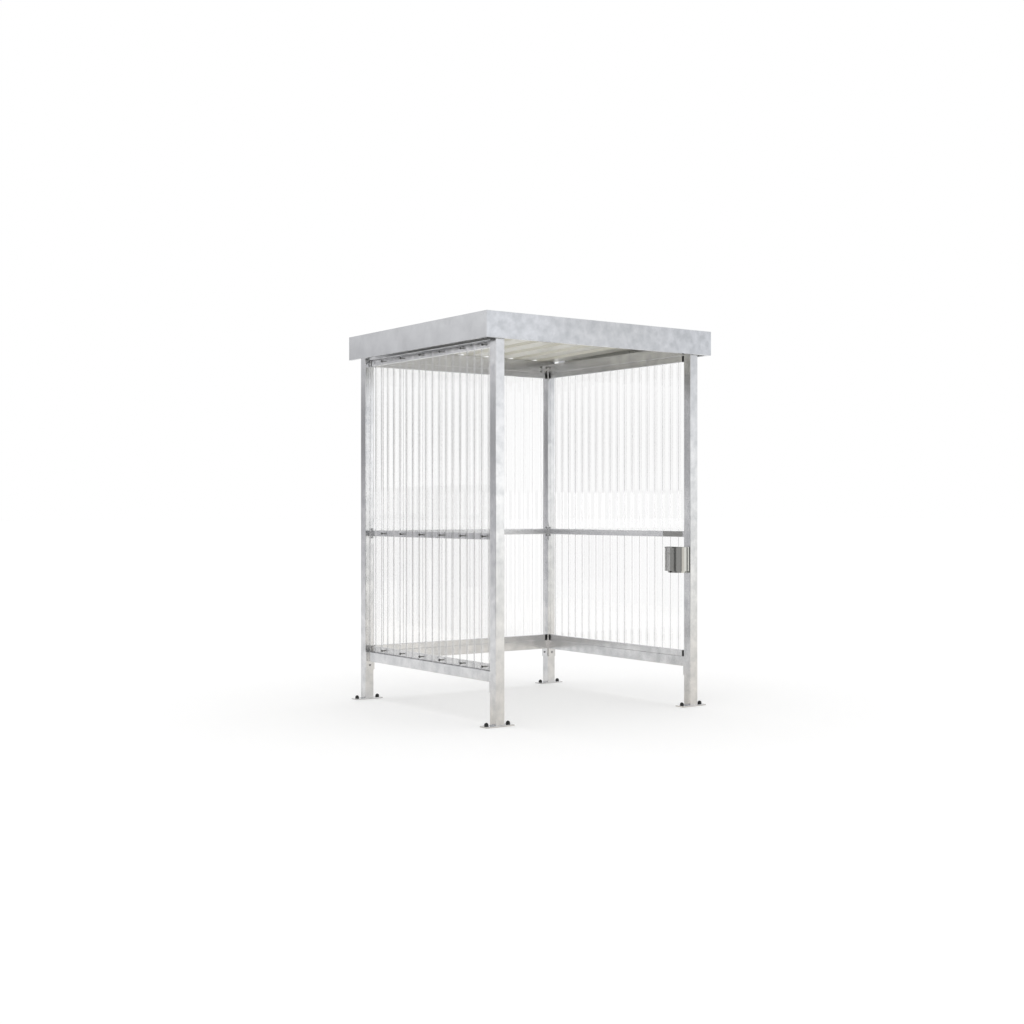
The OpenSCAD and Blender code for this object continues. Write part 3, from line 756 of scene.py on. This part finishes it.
# %% Cards and flags
def card(name, place, bearing, distance, width, stops, slope=0.0, tints=("ffffff", "ffffff"),
         bounces=1):
    """A card round a place, facing it. Stops are pairs of height in metres and brightness.
    The slope is the share by which it gets brighter for each metre along. Tints run from
    its foot to its top, and bounces says how often a ray has to be mirrored to see it."""
    foot, top, peak = stops[0][0], stops[-1][0], max(b for _, b in stops)
    material, tree, output = empty_material(name)
    at = add_node(tree, "TexCoord").outputs["Object"]
    height = add_node(tree, "SeparateXYZ", {"Vector": at})
    side = Vector((-math.sin(math.radians(bearing)), math.cos(math.radians(bearing)), 0))
    along = add_node(tree, "VectorMath", {0: at, 1: side}, operation="DOT_PRODUCT")
    gain = add_node(tree, "Math", {0: along.outputs["Value"], 1: slope * peak,
                                   2: peak - slope * peak * side.dot(place)},
                    operation="MULTIPLY_ADD")
    share = add_node(tree, "MapRange", {"Value": height.outputs["Z"], "From Min": foot,
                                        "From Max": top})
    ramp = add_node(tree, "ValToRGB", {"Fac": share.outputs["Result"]})
    marks = ramp.color_ramp.elements
    for _ in stops[2:]:
        marks.new(0.5)
    for mark, (z, brightness) in zip(marks, stops):
        mark.position = (z - foot) / (top - foot)
        blend = Vector(linear(tints[0])).lerp(Vector(linear(tints[1])), mark.position)
        mark.color = (*(blend * brightness / peak)[:3], 1)
    glow = add_node(tree, "Emission", {"Color": ramp.outputs["Color"], "Strength": gain.outputs[0]})
    path = add_node(tree, "LightPath")
    deep = add_node(tree, "Math", {0: path.outputs["Glossy Depth"], 1: bounces - 1},
                    operation="SUBTRACT", use_clamp=True)
    mirrored = add_node(tree, "Math", {0: mirrored_rays(tree), 1: deep.outputs[0]},
                        operation="MULTIPLY")
    shown = add_node(tree, "MixShader", {0: mirrored.outputs[0], 2: glow.outputs[0],
                                         1: add_node(tree, "BsdfTransparent").outputs[0]})
    tree.links.new(shown.outputs[0], output.inputs["Surface"])
    material.cycles.emission_sampling = "NONE"
    turn = Matrix.Rotation(math.radians(bearing), 4, "Z")
    upright = Matrix.Translation((distance, 0, (foot + top) / 2)) @ Matrix.Rotation(
        math.radians(90), 4, "Y") @ Matrix.Diagonal((top - foot, width, 1, 1))
    bm = bmesh.new()
    bmesh.ops.create_grid(bm, x_segments=1, y_segments=1, size=0.5,
                          matrix=Matrix.Translation((place.x, place.y, 0)) @ turn @ upright)
    mesh = bpy.data.meshes.new(name)
    bm.to_mesh(mesh)
    bm.free()
    mesh.materials.append(material)
    sheet = bpy.data.objects.new(name, mesh)
    bpy.context.scene.collection.objects.link(sheet)
    sheet.visible_camera = sheet.visible_diffuse = sheet.visible_shadow = False


card("grey_card", MIDDLE, 124, 14, 18,
     [(0, 0.8), (0.6, 0.76), (1.2, 0.72), (1.6, 0.59), (2.1, 0.28), (2.6, 0.28), (3.1, 0.57),
      (3.6, 0.93), (4.4, 1.08)], slope=0.075, tints=("fcfbff", "fdfdff"))
card("bright_card", MIDDLE, -54, 6, 8,
     [(0, 1.14), (0.6, 1.24), (1.2, 1.31), (1.7, 1.35), (2.1, 1.2), (2.6, 1.02), (3.4, 1.0)],
     slope=-0.027, tints=("fffef8", "f4f7fd"))
card("fascia_card", MIDDLE, -55.5, 5.5, 1.1, [(2.6, 1.02), (2.8, 0.82), (3.5, 0.76)])
card("corner_card", MIDDLE, -128, 9, 6, [(0.8, 3.1), (2.6, 3.1), (4.5, 2.6)], slope=0.08,
     bounces=2)
card("back_strip", MIDDLE - Vector((75 * MM, 0, 0)), 90, 0.9, 1.25, [(1.1, 1.55), (1.36, 1.55)])
card("right_strip", MIDDLE - Vector((0, 150 * MM, 0)), 0, 0.9, 1.2, [(1.1, 1.9), (1.36, 1.9)])
tray = centre("ashtray_body")
card("grey_flag", tray, 197.5, 2.5, 6.06, [(0.4, 0.47), (1.4, 0.47)])
card("ashtray_flag", tray, 196, 0.9, 0.3, [(0.7, 0.15), (1.1, 0.15)])
card("narrow_flag", tray, 244, 1.15, 0.14, [(0.55, 0.3), (1.2, 0.3)])
card("edge_flag", tray, -67, 1.5, 0.36, [(0.6, 0.25), (1.2, 0.25)])

# %% [markdown]
# ## The camera
# It stands at chest height in front and to the left of the shelter, about nine metres
# off, with a standard lens. It looks nearly level, so that the posts stay upright.

# %% Camera
lens_data = bpy.data.cameras.new("camera")
lens_data.sensor_width, lens_data.lens = 36, 50.316
lens_data.clip_start, lens_data.clip_end = 0.1, 300
camera = bpy.data.objects.new("camera", lens_data)
BEARING, DIP = 54.518, 0.07  # degrees from the X axis, and below level
camera.location = (-5.398, -7.4055, 1.230)
camera.rotation_euler = (math.radians(90 - DIP), 0, math.radians(BEARING - 90))
bpy.context.scene.collection.objects.link(camera)
bpy.context.scene.camera = camera
bpy.context.scene.view_settings.view_transform = "Standard"
print("camera at", [round(v, 2) for v in camera.location])
